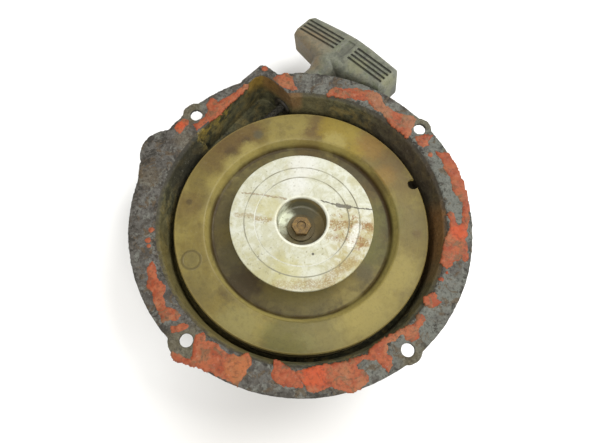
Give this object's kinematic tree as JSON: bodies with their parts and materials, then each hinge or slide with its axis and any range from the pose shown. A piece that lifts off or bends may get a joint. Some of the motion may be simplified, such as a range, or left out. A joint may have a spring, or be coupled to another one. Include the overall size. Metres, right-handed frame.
{
  "type": "recoil starter",
  "caption": "Pull-rope starter for a small engine: round flanged housing, sprung rope reel, two pawls under a cupped friction plate, and a T-shaped pull handle.",
  "frame": {"origin": "on the reel's axis, in the machined flange face that bolts to the engine", "axes": "+Z along the reel's axis, out of the open mouth towards the engine; the rope leaves at 45 degrees between +X and +Y"},
  "size_m": [0.1896, 0.2447, 0.0498],
  "materials": {
    "housing_casting": "worn dark paint over cast aluminium, grimy",
    "reel_nylon": "aged natural nylon, satin",
    "plate_aluminium": "dull cast aluminium with oxide stains",
    "rusty_steel": "rusted steel",
    "steel": "plain steel",
    "pawl_steel": "hardened steel, oily",
    "spring_steel": "blued spring steel",
    "bronze": "sintered bronze",
    "bush_plastic": "black nylon",
    "rope": "braided polyester, dirty",
    "handle_rubber": "aged hard rubber, dusty"
  },
  "bodies": {
    "housing": {"housing": "housing_casting", "rope_guide_bush": "bush_plastic", "centre_post": "steel", "thrust_washer": "steel", "spiral_spring": "spring_steel", "spring_anchor_pin": "steel", "centre_washer": "rusty_steel", "centre_bolt": "rusty_steel"},
    "reel": {"reel": "reel_nylon", "reel_bush": "bronze", "rope_coil": "rope", "reel_knot": "rope", "pawl_pin_a": "steel", "pawl_spring_a": "spring_steel", "pawl_pin_b": "steel", "pawl_spring_b": "spring_steel"},
    "friction_plate": {"friction_plate": "plate_aluminium", "friction_spring": "spring_steel"},
    "pawl_a": {"pawl_a": "pawl_steel"},
    "pawl_b": {"pawl_b": "pawl_steel"},
    "handle": {"handle_grip": "handle_rubber", "rope_retainer": "steel", "handle_knot": "rope", "rope_lead": "rope"}
  },
  "joints": [
    {"name": "reel_spin", "type": "hinge", "parent": "housing", "child": "reel", "pos_m": [0, 0, -0.02], "axis": [0, 0, -1], "range_deg": [0, 1030], "deforming": ["spiral_spring"]},
    {"name": "handle_pull", "type": "slide", "parent": "housing", "child": "handle", "axis": [0.7071, 0.7071, 0], "range_m": [0, 1.2], "deforming": ["rope_lead"]},
    {"name": "friction_plate_turn", "type": "hinge", "parent": "reel", "child": "friction_plate", "pos_m": [0, 0, -0.005], "axis": [0, 0, 1], "range_deg": [0, 17], "deforming": ["friction_spring"]},
    {"name": "pawl_a_swing", "type": "hinge", "parent": "reel", "child": "pawl_a", "pos_m": [0.025, 0, -0.011], "axis": [0, 0, 1], "range_deg": [0, 33], "deforming": ["pawl_spring_a"]},
    {"name": "pawl_b_swing", "type": "hinge", "parent": "reel", "child": "pawl_b", "pos_m": [-0.025, 0, -0.011], "axis": [0, 0, 1], "range_deg": [0, 33], "deforming": ["pawl_spring_b"]}
  ],
  "couplings": [
    {"joint": "handle_pull", "follows": "reel_spin", "m_per_rad": 0.0665},
    {"joint": "pawl_a_swing", "follows": "friction_plate_turn", "ratio": 1.92},
    {"joint": "pawl_b_swing", "follows": "friction_plate_turn", "ratio": 1.92}
  ]
}
